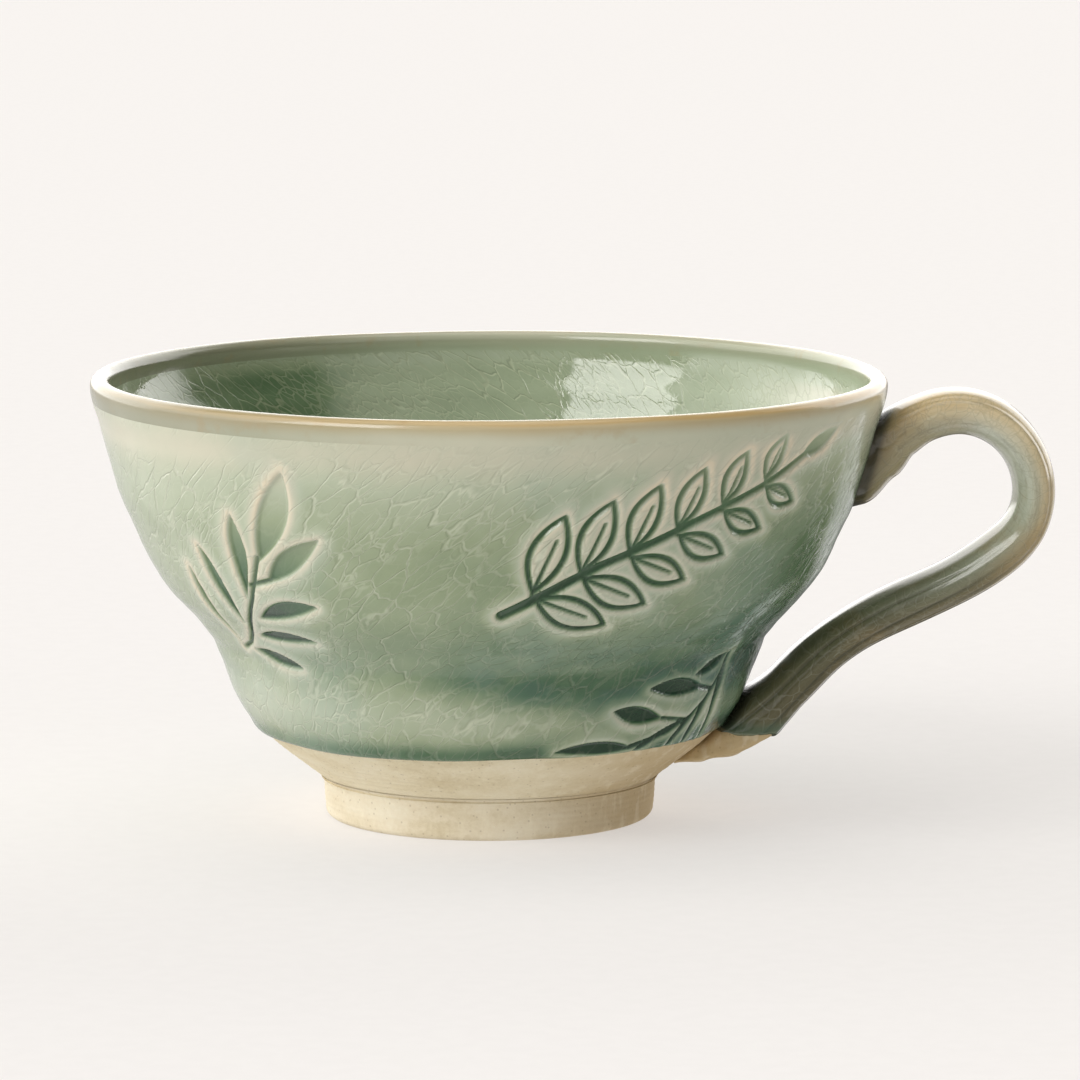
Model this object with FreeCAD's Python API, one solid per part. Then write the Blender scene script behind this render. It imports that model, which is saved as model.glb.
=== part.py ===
import FreeCAD, Part
import math
import os
from FreeCAD import Vector

# Hand-thrown teacup: a waisted bowl on a turned foot ring, with one pulled strap handle.
# Millimetres, +Z up, handle towards +X. The origin is the centre of the plane the foot stands on.

# ---- driving dimensions ----
RIM_RADIUS = 62.5          # outermost radius, on the lip
CUP_HEIGHT = 70.0          # top of the lip
LIP_RADIUS = 1.5           # radius of the rounded lip, glaze included
GLAZE = 0.45               # glaze thickness everywhere
FOOT_RADIUS = 26.2         # outside of the foot ring
FOOT_INNER_RADIUS = 20.6   # inside of the foot ring
FOOT_HEIGHT = 6.2          # height at which the bowl sits on the ring
FOOT_EDGE = 1.2            # rounding of the ring's lower edges
GLAZE_FOOT_Z = 14.0        # lower edge of the outside glaze; the clay below it is bare
RIM_BAND_OUT_Z = 66.2      # lower edge of the rim glaze, outside
RIM_BAND_IN_Z = 66.8       # lower edge of the rim glaze, inside
FLOOR_Z = 10.4             # glazed inside floor, at the centre
WAIST = (43.7, 28.6)       # radius and height of the hollow waist

LIP_CENTRE_R = RIM_RADIUS - LIP_RADIUS
LIP_CENTRE_Z = CUP_HEIGHT - LIP_RADIUS

# Glazed outside wall as (radius, height), from the foot junction up to the side of the lip.
OUTSIDE = [
    (FOOT_RADIUS + 0.6, FOOT_HEIGHT),
    (31.3, 9.7),
    (35.2, 12.9),
    (38.8, 17.4),
    (41.0, 22.0),
    WAIST,
    (47.6, 33.7),
    (51.6, 38.3),
    (54.9, 44.6),
    (57.6, 50.7),
    (59.6, 57.0),
    (61.3, 63.3),
    (RIM_RADIUS, LIP_CENTRE_Z),
]

# Glazed inside wall as (radius, height), from the floor's centre up to the side of the lip.
INSIDE = [
    (0.0, FLOOR_Z),
    (11.0, 10.9),
    (20.5, 13.2),
    (28.6, 17.8),
    (34.6, 23.4),
    (39.2, 29.2),
    (44.0, 35.2),
    (48.6, 41.3),
    (52.2, 47.6),
    (55.0, 53.8),
    (57.2, 60.0),
    (RIM_RADIUS - 2.0 * LIP_RADIUS, LIP_CENTRE_Z),
]

# Handle centreline as (x, z), from inside the upper wall round to the lower wall.
SPINE = [
    (52.5, 56.0),
    (57.0, 56.4),
    (61.0, 58.1),
    (64.6, 60.7),
    (68.6, 62.9),
    (73.4, 63.9),
    (79.4, 62.3),
    (84.0, 57.6),
    (85.7, 51.4),
    (84.2, 45.6),
    (79.6, 40.9),
    (72.6, 36.6),
    (65.0, 33.1),
    (58.2, 29.6),
    (52.0, 25.1),
    (46.6, 19.7),
    (41.4, 15.1),
    (35.6, 11.5),
    (29.0, 8.9),
]

# Glazed handle section along the centreline: (share of its length, thickness, width).
STRAP = [
    (0.00, 16.0, 19.6),
    (0.039, 14.6, 18.4),
    (0.077, 10.4, 16.2),
    (0.115, 8.0, 14.6),
    (0.155, 7.3, 13.8),
    (0.24, 7.0, 13.4),
    (0.36, 6.5, 12.6),
    (0.47, 7.3, 12.0),
    (0.60, 7.3, 11.8),
    (0.73, 7.1, 12.0),
    (0.81, 7.6, 12.8),
    (0.87, 8.8, 14.6),
    (0.915, 7.6, 16.0),
    (0.96, 4.6, 14.6),
    (1.00, 2.2, 10.5),
]
STRAP_SQUARENESS = 2.5     # 2 is an ellipse; more is a flatter strap
UPPER_SEAM = 0.125         # share of the centreline where the upper joint ends
LOWER_SEAM = 0.845         # share of the centreline where the lower joint starts
SECTIONS = 34

AXIS = Vector(0, 0, 1)


def profile(points, start=None, end=None):
    """Smooth curve in the XZ plane through (radius, height) points."""
    curve = Part.BSplineCurve()
    knots = [Vector(r, 0, z) for r, z in points]
    if start is None:
        curve.interpolate(knots)
    else:
        curve.interpolate(Points=knots, InitialTangent=start, FinalTangent=end)
    return curve


def inset(curve, side, start, end):
    """The curve moved by the glaze thickness towards the clay."""
    count = 40
    moved = []
    for i in range(count + 1):
        u = curve.FirstParameter + (curve.LastParameter - curve.FirstParameter) * i / count
        tangent = curve.tangent(u)[0]
        normal = Vector(-tangent.z, 0, tangent.x) * side
        point = curve.value(u) + normal * GLAZE
        moved.append((max(point.x, 0.0), point.z))
    return profile(moved, start, end)


def parameter_at(curve, height):
    """Parameter at which a rising profile reaches the height."""
    low, high = curve.FirstParameter, curve.LastParameter
    for _ in range(60):
        middle = (low + high) / 2.0
        if curve.value(middle).z < height:
            low = middle
        else:
            high = middle
    return (low + high) / 2.0


def rising(curve, low=None, high=None):
    """Edge of a profile between two heights; None is the profile's own end."""
    first = curve.FirstParameter if low is None else parameter_at(curve, low)
    last = curve.LastParameter if high is None else parameter_at(curve, high)
    return curve.toShape(first, last)


def line(a, b):
    return Part.makeLine(a, b)


def ends(edge):
    """Lower and upper end of a rising edge."""
    points = [edge.valueAt(edge.FirstParameter), edge.valueAt(edge.LastParameter)]
    return points[0], points[1]


def lip_arc(radius):
    """Half-round of the lip, from its outside over the top to its inside."""
    centre = Vector(LIP_CENTRE_R, 0, LIP_CENTRE_Z)
    outside = centre + Vector(radius, 0, 0)
    top = centre + Vector(0, 0, radius)
    inside = centre - Vector(radius, 0, 0)
    return Part.Arc(outside, top, inside).toShape()


def revolve(edges):
    """Solid of revolution of the closed outline that the edges make."""
    wire = Part.Wire(Part.__sortEdges__(edges))
    return Part.Face(wire).revolve(Vector(0, 0, 0), AXIS, 360)


def band(clay, glaze, low=None, high=None):
    """Ring of glaze between the clay's and the glaze's profile."""
    under = rising(clay, low, high)
    over = rising(glaze, low, high)
    under_low, under_high = ends(under)
    over_low, over_high = ends(over)
    edges = [under, over, line(under_high, over_high)]
    if (under_low - over_low).Length > 1e-6:
        edges.append(line(under_low, over_low))
    return revolve(edges)


# ---- profiles ----
UP = Vector(0, 0, 1)
OUT = Vector(1, 0, 0)
outer_face = profile(OUTSIDE, Vector(0.62, 0, 0.5), UP)
inner_face = profile(INSIDE, OUT, UP)
outer_clay = inset(outer_face, 1, Vector(0.62, 0, 0.5), UP)
inner_clay = inset(inner_face, -1, OUT, UP)

# ---- bowl ----
clay_foot = outer_clay.value(outer_clay.FirstParameter)
clay_floor = inner_clay.value(inner_clay.FirstParameter)
under_side = Vector(0, 0, FOOT_HEIGHT)
base_corner = Vector(FOOT_RADIUS - 0.5, 0, FOOT_HEIGHT)
bowl_body = revolve([
    line(under_side, base_corner),
    line(base_corner, clay_foot),
    rising(outer_clay),
    lip_arc(LIP_RADIUS - GLAZE),
    rising(inner_clay),
    line(clay_floor, under_side),
])

# ---- foot ring ----
foot_points = [
    Vector(FOOT_INNER_RADIUS - 0.8, 0, FOOT_HEIGHT),
    Vector(FOOT_INNER_RADIUS, 0, FOOT_HEIGHT - 1.6),
    Vector(FOOT_INNER_RADIUS + 0.5, 0, 0),
    Vector(FOOT_RADIUS - 0.3, 0, 0),
    Vector(FOOT_RADIUS, 0, FOOT_HEIGHT - 1.2),
    Vector(FOOT_RADIUS - 0.5, 0, FOOT_HEIGHT),
]
foot_wire = Part.makePolygon(foot_points + [foot_points[0]])
foot_ring = Part.Face(foot_wire).revolve(Vector(0, 0, 0), AXIS, 360)
foot_edges = [e for e in foot_ring.Edges if abs(e.BoundBox.ZMax) < 1e-6 and e.Length > 40]
foot_ring = foot_ring.makeFillet(FOOT_EDGE, foot_edges)

# ---- glaze on the bowl ----
rim_low_out = rising(outer_clay, RIM_BAND_OUT_Z)
rim_low_in = rising(inner_clay, RIM_BAND_IN_Z)
rim_top_out = rising(outer_face, RIM_BAND_OUT_Z)
rim_top_in = rising(inner_face, RIM_BAND_IN_Z)
rim_glaze = revolve([
    line(ends(rim_low_out)[0], ends(rim_top_out)[0]),
    rim_top_out,
    lip_arc(LIP_RADIUS),
    rim_top_in,
    line(ends(rim_top_in)[0], ends(rim_low_in)[0]),
    rim_low_in,
    lip_arc(LIP_RADIUS - GLAZE),
    rim_low_out,
])
outer_glaze = band(outer_clay, outer_face, GLAZE_FOOT_Z, RIM_BAND_OUT_Z)
inner_glaze = band(inner_clay, inner_face, None, RIM_BAND_IN_Z)


# ---- handle ----
spine = profile(SPINE)


def strap_size(share):
    """Thickness and width of the glazed strap at a share of its length."""
    for low, high in zip(STRAP, STRAP[1:]):
        if share <= high[0]:
            mix = (share - low[0]) / (high[0] - low[0])
            mix = mix * mix * (3.0 - 2.0 * mix)
            thickness = low[1] + (high[1] - low[1]) * mix
            width = low[2] + (high[2] - low[2]) * mix
            return thickness, width
    return STRAP[-1][1], STRAP[-1][2]


def spine_at(share):
    """Point and direction on the centreline at a share of its length."""
    u = spine.parameterAtDistance(spine.length() * share, spine.FirstParameter)
    return spine.value(u), spine.tangent(u)[0]


def strap_section(share, shrink):
    """Closed rounded outline of the strap, square to the centreline."""
    centre, along = spine_at(share)
    normal = Vector(-along.z, 0, along.x)
    thickness, width = strap_size(share)
    a = thickness / 2.0 - shrink
    b = width / 2.0 - shrink
    power = 2.0 / STRAP_SQUARENESS
    points = []
    for i in range(16):
        angle = 2.0 * math.pi * i / 16
        c, s = math.cos(angle), math.sin(angle)
        across = math.copysign(abs(c) ** power, c) * a
        side = math.copysign(abs(s) ** power, s) * b
        points.append(centre + normal * across + Vector(0, side, 0))
    curve = Part.BSplineCurve()
    curve.interpolate(Points=points, PeriodicFlag=True)
    return Part.Wire(curve.toShape())


def strap(shrink, margin):
    """The whole strap, left short of both buried ends by the margin (a share of its length)."""
    step = (1.0 - 2.0 * margin) / (SECTIONS - 1.0)
    wires = [strap_section(margin + step * i, shrink) for i in range(SECTIONS)]
    return Part.makeLoft(wires, True, False)


def block(share, direction, depth, reach):
    """Box that starts square to the centreline and runs along or against it."""
    centre, along = spine_at(share)
    along = along * direction
    box = Part.makeBox(depth, 60, 2 * reach, Vector(0, -30, -reach))
    turn = FreeCAD.Rotation(Vector(1, 0, 0), along)
    box.Placement = FreeCAD.Placement(centre, turn)
    return box


filled_clay = revolve([
    line(under_side, base_corner),
    line(base_corner, clay_foot),
    rising(outer_clay),
    line(Vector(RIM_RADIUS - GLAZE, 0, LIP_CENTRE_Z), Vector(0, 0, LIP_CENTRE_Z)),
    line(Vector(0, 0, LIP_CENTRE_Z), under_side),
])

clay_strap = strap(GLAZE, 0.0)
handle_clay = clay_strap.cut(filled_clay)
upper_box = block(UPPER_SEAM, -1, 17.0, 14.0)
lower_box = block(LOWER_SEAM, 1, 34.0, 14.0)
upper_handle_joint = handle_clay.common(upper_box)
lower_handle_joint = handle_clay.common(lower_box)
handle = handle_clay.cut(upper_box).cut(lower_box)

# The outside glaze stops where the handle's clay is stuck to the wall.
outer_glaze = outer_glaze.cut(clay_strap)

# The handle's glaze ends on a slanted line across the lower joint, and the clay below it is bare.
dip_line = FreeCAD.Placement(Vector(38.0, 0, 14.6), FreeCAD.Rotation(Vector(0, 1, 0), 17.0))
bare_zone = Part.makeBox(60, 60, 30, Vector(-30, -30, -30))
bare_zone.Placement = dip_line
glazed_bowl = revolve([
    line(Vector(0, 0, GLAZE_FOOT_Z), ends(rising(outer_face, GLAZE_FOOT_Z))[0]),
    rising(outer_face, GLAZE_FOOT_Z),
    line(Vector(RIM_RADIUS, 0, LIP_CENTRE_Z), Vector(0, 0, LIP_CENTRE_Z)),
    line(Vector(0, 0, LIP_CENTRE_Z), Vector(0, 0, GLAZE_FOOT_Z)),
])
handle_glaze = strap(0.0, 0.015).cut(clay_strap).cut(glazed_bowl).cut(filled_clay).cut(bare_zone)


def single(shape):
    """The largest solid of a shape, cleaned of seams left by cutting."""
    solids = sorted(shape.Solids, key=lambda s: s.Volume)
    return solids[-1]


NODES = {
    "bowl_body": bowl_body,
    "foot_ring": foot_ring,
    "inner_glaze": inner_glaze,
    "outer_glaze": outer_glaze,
    "rim_glaze": rim_glaze,
    "handle": handle,
    "upper_handle_joint": upper_handle_joint,
    "lower_handle_joint": lower_handle_joint,
    "handle_glaze": handle_glaze,
}

os.makedirs("parts", exist_ok=True)
for name, shape in NODES.items():
    solid = single(shape)
    box = solid.BoundBox
    print(name, len(shape.Solids), solid.isValid(), round(solid.Volume, 1),
          [round(v, 2) for v in (box.XMin, box.XMax, box.YMin, box.YMax, box.ZMin, box.ZMax)])
    solid.exportStep("parts/" + name + ".step")
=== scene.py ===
import math

import bpy
import numpy as np
from mathutils import Euler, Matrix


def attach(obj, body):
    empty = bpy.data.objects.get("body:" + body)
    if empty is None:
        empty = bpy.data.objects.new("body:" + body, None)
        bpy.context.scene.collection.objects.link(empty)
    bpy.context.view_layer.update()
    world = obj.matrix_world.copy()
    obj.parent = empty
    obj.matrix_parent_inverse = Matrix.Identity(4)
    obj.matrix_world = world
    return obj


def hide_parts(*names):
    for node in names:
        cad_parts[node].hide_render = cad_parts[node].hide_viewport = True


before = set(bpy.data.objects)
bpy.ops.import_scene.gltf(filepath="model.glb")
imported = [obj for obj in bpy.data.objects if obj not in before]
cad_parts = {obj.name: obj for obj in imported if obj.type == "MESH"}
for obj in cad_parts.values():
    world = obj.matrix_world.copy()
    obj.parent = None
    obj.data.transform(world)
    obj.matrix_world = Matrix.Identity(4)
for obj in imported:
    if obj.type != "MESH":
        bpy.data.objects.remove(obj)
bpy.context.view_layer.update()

# Hand-thrown celadon teacup. Metres in the scene; the shapes below are written in millimetres and scaled once.
MM = 0.001

# ---- bowl, mm: the CAD solids' own dimensions ----
GLAZE = 0.45
RIM_R = 62.5
LIP = 1.5
TOP = 70.0
LIP_R = RIM_R - LIP
LIP_Z = TOP - LIP
FOOT_H = 6.2
RIM_BAND_OUT = 66.2
RIM_BAND_IN = 66.8
OUTSIDE = [(26.8, 6.2), (31.3, 9.7), (35.2, 12.9), (38.8, 17.4), (41.0, 22.0), (43.7, 28.6), (47.6, 33.7),
           (51.6, 38.3), (54.9, 44.6), (57.6, 50.7), (59.6, 57.0), (61.3, 63.3), (62.5, 68.5)]
INSIDE = [(0.0, 10.4), (11.0, 10.9), (20.5, 13.2), (28.6, 17.8), (34.6, 23.4), (39.2, 29.2), (44.0, 35.2),
          (48.6, 41.3), (52.2, 47.6), (55.0, 53.8), (57.2, 60.0), (59.5, 68.5)]

# ---- handle, mm: centreline (x, z) and glazed section (share of length, thickness, width) ----
SPINE = [(52.5, 56.0), (57.0, 56.4), (61.0, 58.1), (64.6, 60.7), (68.6, 62.9), (73.4, 63.9), (79.4, 62.3),
         (84.0, 57.6), (85.7, 51.4), (84.2, 45.6), (79.6, 40.9), (72.6, 36.6), (65.0, 33.1), (58.2, 29.6),
         (52.0, 25.1), (46.6, 19.7), (41.4, 15.1), (35.6, 11.5), (29.0, 8.9)]
STRAP = [(0.00, 16.0, 19.6), (0.039, 14.6, 18.4), (0.077, 10.4, 16.2), (0.115, 8.0, 14.6), (0.155, 7.3, 13.8),
         (0.24, 7.0, 13.4), (0.36, 6.5, 12.6), (0.47, 7.3, 12.0), (0.60, 7.3, 11.8), (0.73, 7.1, 12.0),
         (0.81, 7.6, 12.8), (0.87, 8.8, 14.6), (0.915, 7.6, 16.0), (0.96, 4.6, 14.6), (1.00, 2.2, 10.5)]
SQUARENESS = 2.5


# =====================================================================
# maths
# =====================================================================
def smooth(low, high, x):
    """Smooth step from 0 at low to 1 at high; low may be the larger one."""
    t = np.clip((x - low) / (high - low), 0.0, 1.0)
    return t * t * (3.0 - 2.0 * t)


def bell(x, centre, width):
    """Bump of height 1 at the centre."""
    return np.exp(-(((x - centre) / width) ** 2))


class Curve:
    """Smooth plane curve through points, read by arc length."""

    def __init__(self, points, start=None, end=None):
        p = np.array(points, float)
        t = np.r_[0.0, np.cumsum(np.hypot(*np.diff(p, axis=0).T))]
        slopes = self.slopes(t, p, start, end)
        u = np.linspace(0.0, t[-1], 4001)
        k = np.clip(np.searchsorted(t, u, side="right") - 1, 0, len(t) - 2)
        h = (t[k + 1] - t[k])[:, None]
        w = ((u - t[k])[:, None]) / h
        self.xy = ((1 + 2 * w) * (1 - w) ** 2 * p[k] + w * (1 - w) ** 2 * h * slopes[k]
                   + w * w * (3 - 2 * w) * p[k + 1] + w * w * (w - 1) * h * slopes[k + 1])
        self.s = np.r_[0.0, np.cumsum(np.hypot(*np.diff(self.xy, axis=0).T))]
        self.length = self.s[-1]

    @staticmethod
    def slopes(t, p, start, end):
        """Slopes of the C2 cubic spline; given end directions are unit tangents."""
        n = len(t)
        a = np.zeros((n, n))
        b = np.zeros((n, 2))
        h = np.diff(t)
        for i in range(1, n - 1):
            a[i, i - 1], a[i, i], a[i, i + 1] = h[i], 2 * (h[i] + h[i - 1]), h[i - 1]
            b[i] = 3 * (h[i] * (p[i] - p[i - 1]) / h[i - 1] + h[i - 1] * (p[i + 1] - p[i]) / h[i])
        for row, other, direction, chord in ((0, 1, start, p[1] - p[0]), (n - 1, n - 2, end, p[-1] - p[-2])):
            a[row, row] = 1.0
            if direction is None:
                a[row, row], a[row, other] = 2.0, 1.0
                b[row] = 3 * chord / (h[0] if row == 0 else h[-1])
            else:
                b[row] = np.array(direction) / np.hypot(*direction)
        return np.linalg.solve(a, b)

    def at(self, s):
        return np.stack([np.interp(s, self.s, self.xy[:, 0]), np.interp(s, self.s, self.xy[:, 1])], -1)

    def tangent(self, s):
        d = self.at(np.asarray(s) + 0.05) - self.at(np.asarray(s) - 0.05)
        return d / np.hypot(d[..., 0], d[..., 1])[..., None]

    def s_at_height(self, z):
        return np.interp(z, self.xy[:, 1], self.s)

    def radius_at(self, z):
        return np.interp(z, self.xy[:, 1], self.xy[:, 0])


outside = Curve(OUTSIDE, (0.62, 0.5), (0, 1))
inside = Curve(INSIDE, (1, 0), (0, 1))
spine = Curve(SPINE)


# =====================================================================
# stamped decoration: signed distances in a flat chart, mm (x to the right, y up)
# =====================================================================
def segment(x, y, ax, ay, bx, by, ra, rb):
    """Tapered stroke."""
    dx, dy = bx - ax, by - ay
    t = np.clip(((x - ax) * dx + (y - ay) * dy) / (dx * dx + dy * dy), 0.0, 1.0)
    return np.hypot(x - ax - t * dx, y - ay - t * dy) - (ra + (rb - ra) * t)


def path(x, y, points, ra, rb):
    """Stroke along several points, tapering evenly."""
    n = len(points) - 1
    d = np.full_like(x, 1e3)
    for i in range(n):
        r0 = ra + (rb - ra) * i / n
        r1 = ra + (rb - ra) * (i + 1) / n
        d = np.minimum(d, segment(x, y, *points[i], *points[i + 1], r0, r1))
    return d


def leaf(x, y, ax, ay, bx, by, width, fat=0.45, bend=0.0):
    """Pointed leaf from a to b; fat is where along it the leaf is widest, bend moves its middle sideways."""
    length = math.hypot(bx - ax, by - ay)
    ux, uy = (bx - ax) / length, (by - ay) / length
    p = (x - ax) * ux + (y - ay) * uy
    q = (y - ay) * ux - (x - ax) * uy
    t = np.clip(p / length, 0.0, 1.0)
    q = q - bend * 4.0 * t * (1.0 - t)
    power = math.log(0.5) / math.log(fat)
    half = width / 2.0 * np.sin(np.pi * t ** power) ** 0.85
    beyond = np.maximum(np.maximum(-p, p - length), 0.0)
    return np.hypot(np.maximum(np.abs(q) - half, 0.0), beyond) + np.minimum(np.abs(q) - half, 0.0) * 0.9


def union(*ds):
    """Distance to the nearest of several shapes."""
    return np.minimum.reduce(ds)


def sprig(x, y):
    """Fan of eight pressed leaves on a curved stem."""
    return union(
        leaf(x, y, 5.4, 4.6, 12.8, 20.6, 4.7, 0.55, -0.8),
        leaf(x, y, 0.6, -2.6, 2.8, 12.8, 2.9, 0.6, -0.4),
        leaf(x, y, -3.8, -8.6, -6.4, 6.6, 2.3, 0.58, -0.5),
        leaf(x, y, -10.4, -13.8, -11.0, 2.4, 1.7, 0.6, 0.3),
        leaf(x, y, 6.6, 1.6, 17.0, 9.8, 3.6, 0.45, 0.2),
        leaf(x, y, 1.2, -6.2, 14.0, -2.6, 3.3, 0.5, 0.6),
        leaf(x, y, -2.6, -10.8, 10.6, -10.8, 2.5, 0.45, 0.5),
        leaf(x, y, -7.4, -14.4, 3.8, -17.2, 2.6, 0.5, 0.1),
        path(x, y, [(5.6, 5.6), (3.6, 1.4), (1.4, -2.4), (-1.8, -6.8), (-4.6, -10.4), (-7.4, -13.0), (-10.6, -14.4)],
             0.42, 0.4),
        segment(x, y, 2.4, 0.4, 6.8, 1.8, 0.45, 0.5),
    )


def spray(x, y):
    """Leafy spray that hangs to the left from an arched stem."""
    return union(
        leaf(x, y, 7.0, 4.0, -4.8, 5.0, 3.1, 0.5, -0.2),
        leaf(x, y, -0.2, -0.6, -10.6, 1.6, 3.2, 0.55, 0.1),
        leaf(x, y, -5.4, -5.6, -19.6, -5.4, 2.4, 0.45, -0.5),
        leaf(x, y, 10.8, 9.4, 4.2, 6.4, 1.7, 0.5, 0.2),
        leaf(x, y, 11.0, 8.4, 12.6, -6.8, 1.5, 0.4, 0.3),
        leaf(x, y, 10.4, 4.4, 7.4, -7.4, 1.5, 0.45, -0.5),
        leaf(x, y, 8.8, 1.4, 2.6, -7.8, 1.4, 0.45, -0.5),
        leaf(x, y, 6.4, -1.2, -5.8, -7.8, 1.3, 0.5, -0.9),
        path(x, y, [(11.4, 9.4), (10.9, 5.6), (9.6, 2.2), (6.8, -0.8), (2.0, -3.4), (-5.6, -5.4)], 0.35, 0.42),
        segment(x, y, 10.2, 3.2, 6.6, 4.0, 0.3, 0.4),
        segment(x, y, 5.6, -1.6, -0.4, -0.6, 0.3, 0.4),
    )


BRANCH_TILT = 24.0            # degrees from level
BRANCH_ROOT = (-9.9, -6.8)    # in the chart
LEAF_PAIRS = 6


def branch(x, y):
    """Plain laurel branch: pairs of outlined leaves with a midrib, smaller towards the tip."""
    tilt = math.radians(BRANCH_TILT)
    x, y = x - BRANCH_ROOT[0], y - BRANCH_ROOT[1]
    p = x * math.cos(tilt) + y * math.sin(tilt)
    q = y * math.cos(tilt) - x * math.sin(tilt)
    parts = [path(p, q, [(-14.0, -1.2), (4.0, 0.4), (20.0, 0.4), (34.0, 0.0), (44.0, 0.6)], 0.95, 0.5)]
    for k in range(LEAF_PAIRS):
        at = -8.0 + 8.2 * k
        size = 13.2 - 1.1 * k
        for side in (-1, 1):
            tx, ty = at + 0.74 * size, side * 0.84 * size
            whole = leaf(p, q, at, 0.3 * side, tx, ty, 6.4 - 0.5 * k, 0.5, 0.3 * side)
            parts.append(np.abs(whole + 0.45) - 0.5)
            parts.append(segment(p, q, at, 0.3 * side, at + 0.52 * size, side * 0.58 * size, 0.42, 0.3))
    parts.append(leaf(p, q, 41.0, 0.5, 50.0, 0.9, 3.2, 0.5, 0.0))
    return union(*parts)


# Each stamp: middle angle (degrees from the front towards the handle), middle height, chart radius, outline,
# reach, how dark its lines are at the heart and how much paler they get per millimetre, and the heart (x, y).
SPRIG = (41.8, 52.0, sprig, 26.0, 1.14, 0.024, (0.0, -10.0))
BRANCH = (51.6, 57.7, branch, 46.0, 0.93, 0.005, (-6.0, -12.0))
SPRAY = (20.6, 42.0, spray, 24.0, 0.96, 0.003, (0.0, -4.0))
STAMPS = [
    (-45.0, *SPRIG), (24.0, *BRANCH), (42.0, *SPRAY),
    (170.0, *SPRIG), (-128.0, *BRANCH), (-170.0, *SPRAY),
]
NO_STAMP = 60.0       # distance, mm, where no stamp is near
PLAIN_INK = 0.8


def stamped(theta, s):
    """Smallest signed distance to any stamped line, mm, and how dark the glaze lies in it."""
    d = np.full(theta.shape, NO_STAMP)
    ink = np.full(theta.shape, PLAIN_INK)
    for angle, z, radius, outline, reach, dark, fade, (hx, hy) in STAMPS:
        turn = (theta - math.radians(angle) + math.pi) % (2 * math.pi) - math.pi
        x = turn * radius
        y = s - outside.s_at_height(z)
        near = np.hypot(x, y) < reach
        here = outline(x[near], y[near])
        nearest = here < d[near]
        ink[near] = np.where(nearest, dark - fade * np.hypot(x[near] - hx, y[near] - hy), ink[near])
        d[near] = np.minimum(d[near], here)
    return d, ink


# =====================================================================
# meshes
# =====================================================================
def grid_normals(p, closed):
    """Smooth normals of a grid of points, rows along axis 0 and columns along axis 1."""
    if closed:
        du = np.roll(p, -1, 1) - np.roll(p, 1, 1)
    else:
        du = np.gradient(p, axis=1)
    dv = np.gradient(p, axis=0)
    n = np.cross(du, dv)
    size = np.linalg.norm(n, axis=-1, keepdims=True)
    return n / np.maximum(size, 1e-12)


def skin(name, p, closed, material, attributes, normals, node=None, flip=False):
    """Object from a grid of points in mm; its smooth normals are kept, so skins that meet show no break where they
    join.
    """
    rows, cols = p.shape[:2]
    index = np.arange(rows * cols).reshape(rows, cols)
    right = np.roll(index, -1, 1) if closed else index[:, 1:]
    left = index if closed else index[:, :-1]
    quads = np.stack([left[:-1], right[:-1], right[1:], left[1:]], -1).reshape(-1, 4)
    if flip:
        quads = quads[:, ::-1]
    mesh = bpy.data.meshes.new(name)
    mesh.from_pydata((p.reshape(-1, 3) * MM).tolist(), [], quads.tolist())
    mesh.shade_smooth()
    for key, values in attributes.items():
        kind = "FLOAT_VECTOR" if values.ndim == 3 else "FLOAT"
        layer = mesh.attributes.new(key, kind, "POINT")
        field = "vector" if kind == "FLOAT_VECTOR" else "value"
        layer.data.foreach_set(field, values.reshape(-1).astype(np.float32))
    mesh.normals_split_custom_set_from_vertices((normals.reshape(-1, 3) * (-1 if flip else 1)).tolist())
    obj = bpy.data.objects.new(name, mesh)
    bpy.context.scene.collection.objects.link(obj)
    mesh.materials.append(material)
    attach(obj, "root")
    if node:
        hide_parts(*node)


def around(theta, rz):
    """Points of revolution; theta from the front (-Y) towards the handle (+X)."""
    return np.stack([rz[..., 0] * np.sin(theta), -rz[..., 0] * np.cos(theta), rz[..., 1]], -1)


def strap_size(share):
    """Thickness and width of the glazed strap, mm, at shares of its length."""
    shares = np.array([row[0] for row in STRAP])
    k = np.clip(np.searchsorted(shares, share, side="right") - 1, 0, len(STRAP) - 2)
    table = np.array(STRAP)
    mix = (share - shares[k]) / (shares[k + 1] - shares[k])
    mix = mix * mix * (3 - 2 * mix)
    return (table[k, 1] + (table[k + 1, 1] - table[k, 1]) * mix,
            table[k, 2] + (table[k + 1, 2] - table[k, 2]) * mix)


def strap_distance(x, y, z):
    """Rough distance from the handle's glazed surface, mm, for points near its ends."""
    shares = np.r_[np.linspace(0.0, 0.16, 17), np.linspace(0.80, 1.0, 21)]
    best = np.full(x.shape, 1e3)
    for share in shares:
        cx, cz = spine.at(share * spine.length)
        tx, tz = spine.tangent(share * spine.length)
        a, b = strap_size(np.array(share))
        along = (x - cx) * tx + (z - cz) * tz
        across = (x - cx) * -tz + (z - cz) * tx
        d = (np.hypot(across / (a / 2), y / (b / 2)) - 1.0) * (a + b) / 4
        best = np.minimum(best, np.hypot(np.maximum(d, 0), along * 0.6) + np.minimum(d, 0))
    return best


COLUMNS = 1100        # round the glazed bowl
OUTER_ROWS = 168
CLAY_COLUMNS = 720
STRAP_ROWS = 440
STRAP_COLUMNS = 128
FLUTES = 9
CLAY_OVERLAP = 0.9    # the clay runs this far up under the outside glaze, mm
HANDLE_START = 0.015  # share of the centreline at which the handle's glaze starts
BARE_POOL = 0.22      # how thick the glaze looks where it thins over the lip, outside
DEEP_POOL = 0.44      # and inside


def glaze_edge(theta):
    """Height of the outside glaze's wavy lower edge."""
    return (14.1 + 0.35 * np.sin(theta + 0.9) + 0.28 * np.sin(2 * theta - 0.4) + 0.10 * np.sin(5 * theta + 1.0)
            + 0.05 * np.sin(11 * theta))


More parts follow.
